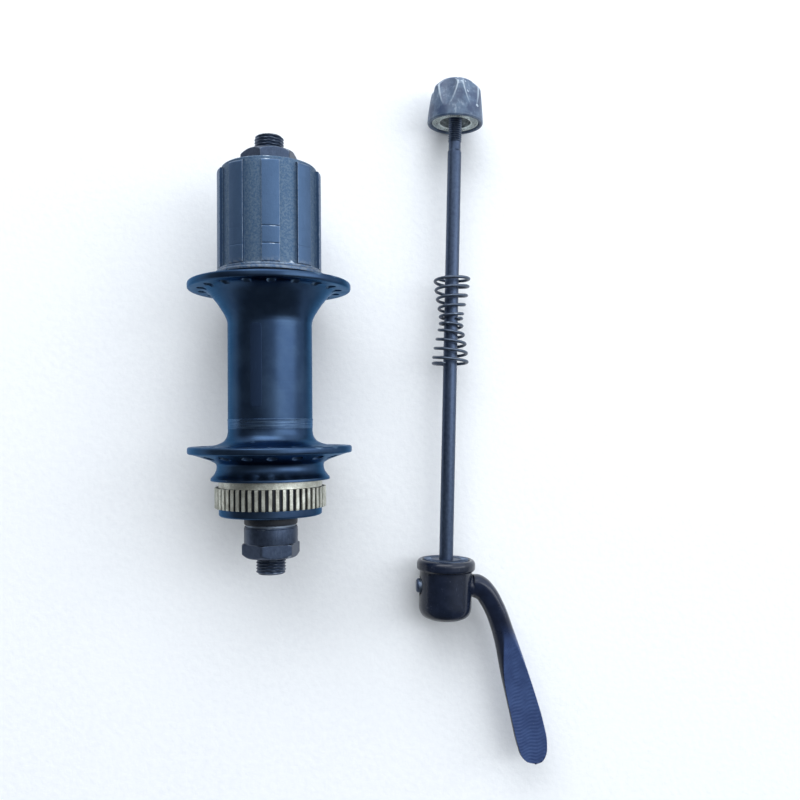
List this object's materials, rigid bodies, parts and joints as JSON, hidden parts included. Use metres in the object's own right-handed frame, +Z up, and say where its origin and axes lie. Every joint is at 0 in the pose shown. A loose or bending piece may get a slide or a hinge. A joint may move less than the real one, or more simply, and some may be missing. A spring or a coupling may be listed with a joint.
{
  "type": "bicycle rear hub assembly",
  "caption": "Rear bicycle disc-brake hub with splined freehub, cup and cone bearings and a spline rotor mount, with its quick-release skewer laid beside it.",
  "frame": {"origin": "middle of the hollow axle, on its axis", "axes": "+Y along the axle towards the driven (freehub) end, +Z up from the surface the hub lies on, +X towards the skewer beside it"},
  "size_m": [0.1234, 0.2473, 0.054],
  "materials": {
    "black_anodised": "satin black anodised aluminium",
    "black_steel": "black oxide steel, lightly oiled",
    "freehub_steel": "dark grey heat-treated steel with worn spline edges",
    "nickel_ring": "dull nickel plated steel",
    "bearing_steel": "polished bearing steel",
    "zinc_steel": "bright zinc plated steel",
    "black_rubber": "black nitrile rubber",
    "black_paint": "gloss black paint",
    "knob_plastic": "worn dark grey plastic",
    "spring_steel": "blackened spring wire"
  },
  "bodies": {
    "axle_set": {"axle": "black_steel", "drive_cone": "bearing_steel", "drive_washer": "black_steel", "drive_locknut": "black_steel", "rotor_cone": "bearing_steel", "rotor_cone_seal": "black_rubber", "rotor_washer": "black_steel", "rotor_spacer": "black_steel", "rotor_locknut": "black_steel"},
    "shell": {"hub_shell": "black_anodised", "rotor_spline_ring": "nickel_ring", "rotor_thread_ring": "black_anodised", "rotor_bearing_cup": "bearing_steel", "rotor_dust_cap": "black_paint", "freehub_bolt": "zinc_steel", "freehub_core": "bearing_steel", "pawl_springs": "spring_steel", "drive_bearing_cup": "bearing_steel", "drive_dust_cap": "black_paint"},
    "pawl_a": {"pawl_a": "bearing_steel"},
    "pawl_b": {"pawl_b": "bearing_steel"},
    "freehub": {"freehub_body": "freehub_steel", "freehub_seal": "black_rubber"},
    "drive_ball_row": {"drive_balls": "bearing_steel"},
    "rotor_ball_row": {"rotor_balls": "bearing_steel"},
    "freehub_outer_row": {"freehub_outer_balls": "bearing_steel"},
    "freehub_inner_row": {"freehub_inner_balls": "bearing_steel"},
    "skewer": {"skewer_rod": "black_steel"},
    "cup": {"lever_cup": "black_paint", "cup_serrated_washer": "black_steel"},
    "lever": {"quick_lever": "black_paint", "lever_end_cap": "black_steel"},
    "nut_ring": {"nut_serrated_ring": "zinc_steel"},
    "nut": {"nut_knob": "knob_plastic", "nut_insert": "zinc_steel"},
    "upper_spring": {"spring_nut_side": "spring_steel"},
    "lower_spring": {"spring_lever_side": "spring_steel"}
  },
  "joints": [
    {"name": "shell_spin", "type": "hinge", "parent": "axle_set", "child": "shell", "pos_m": [0, 0, 0], "axis": [0, 1, 0], "continuous": true},
    {"name": "drive_balls_orbit", "type": "hinge", "parent": "axle_set", "child": "drive_ball_row", "pos_m": [0, 0.0552, 0], "axis": [0, 1, 0], "continuous": true},
    {"name": "rotor_balls_orbit", "type": "hinge", "parent": "axle_set", "child": "rotor_ball_row", "pos_m": [0, -0.0476, 0], "axis": [0, 1, 0], "continuous": true},
    {"name": "freehub_spin", "type": "hinge", "parent": "shell", "child": "freehub", "pos_m": [0, 0.045, 0], "axis": [0, 1, 0], "continuous": true},
    {"name": "freehub_outer_balls_orbit", "type": "hinge", "parent": "shell", "child": "freehub_outer_row", "pos_m": [0, 0.05078, 0], "axis": [0, 1, 0], "continuous": true},
    {"name": "freehub_inner_balls_orbit", "type": "hinge", "parent": "shell", "child": "freehub_inner_row", "pos_m": [0, 0.02878, 0], "axis": [0, 1, 0], "continuous": true},
    {"name": "pawl_a_swing", "type": "hinge", "parent": "shell", "child": "pawl_a", "pos_m": [0.0106, 0.036, 0], "axis": [0, -1, 0], "range_deg": [0, 16]},
    {"name": "pawl_b_swing", "type": "hinge", "parent": "shell", "child": "pawl_b", "pos_m": [-0.0106, 0.036, 0], "axis": [0, -1, 0], "range_deg": [0, 16]},
    {"name": "skewer_lift", "type": "slide", "parent": "axle_set", "child": "skewer", "axis": [0, 0, 1], "range_m": [0, 0.08]},
    {"name": "cup_slide", "type": "slide", "parent": "skewer", "child": "cup", "axis": [0.0333, 0.9994, 0], "range_m": [-0.00071, 0.00071]},
    {"name": "lever_swing", "type": "hinge", "parent": "cup", "child": "lever", "pos_m": [0.06069, -0.08195, -0.01654], "axis": [0.9994, -0.0333, 0], "range_deg": [-90, 90]},
    {"name": "nut_travel", "type": "slide", "parent": "skewer", "child": "nut_ring", "axis": [0.0333, 0.9994, 0], "range_m": [-0.0031, 0.0051]},
    {"name": "nut_turn", "type": "hinge", "parent": "nut_ring", "child": "nut", "pos_m": [0.06649, 0.09195, -0.01654], "axis": [0.0333, 0.9994, 0], "range_deg": [-1350, 2250]},
    {"name": "nut_side_spring_slide", "type": "slide", "parent": "skewer", "child": "upper_spring", "axis": [0.0333, 0.9994, 0], "range_m": [-0.0008, 0.045]},
    {"name": "lever_side_spring_slide", "type": "slide", "parent": "skewer", "child": "lower_spring", "axis": [0.0333, 0.9994, 0], "range_m": [-0.06, 0.0008]}
  ],
  "couplings": [
    {"joint": "drive_balls_orbit", "follows": "shell_spin", "ratio": 0.6169},
    {"joint": "rotor_balls_orbit", "follows": "shell_spin", "ratio": 0.6169},
    {"joint": "freehub_outer_balls_orbit", "follows": "freehub_spin", "ratio": 0.5432},
    {"joint": "freehub_inner_balls_orbit", "follows": "freehub_spin", "ratio": 0.5432},
    {"joint": "cup_slide", "follows": "lever_swing", "m_per_rad": 0.00044563},
    {"joint": "nut_travel", "follows": "nut_turn", "m_per_rad": 0.00012732}
  ]
}
